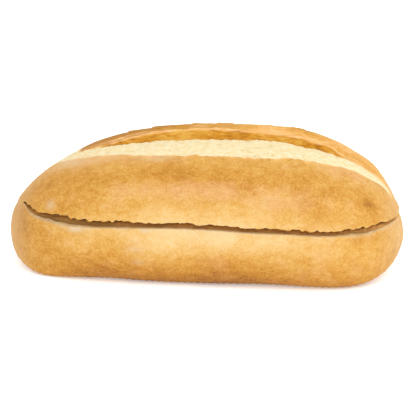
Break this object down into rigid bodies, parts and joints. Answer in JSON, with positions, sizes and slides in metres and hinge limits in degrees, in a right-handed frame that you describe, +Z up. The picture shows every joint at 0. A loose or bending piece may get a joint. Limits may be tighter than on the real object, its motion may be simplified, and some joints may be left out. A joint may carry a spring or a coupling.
{
  "type": "baguette roll",
  "caption": "Oblong crusty white roll on a flat base, scored lengthwise along its top, with a lengthwise slit cut into one side for a filling and left joined along the other.",
  "frame": {"origin": "middle of the base, on the surface that the roll stands on", "axes": "+X along the roll's length, -Y out of the side that the slit opens on, +Z up"},
  "size_m": [0.16, 0.08, 0.055],
  "materials": {
    "crust": "dry baked crust, faint sheen"
  },
  "bodies": {
    "root": {"roll": "crust"}
  },
  "joints": []
}
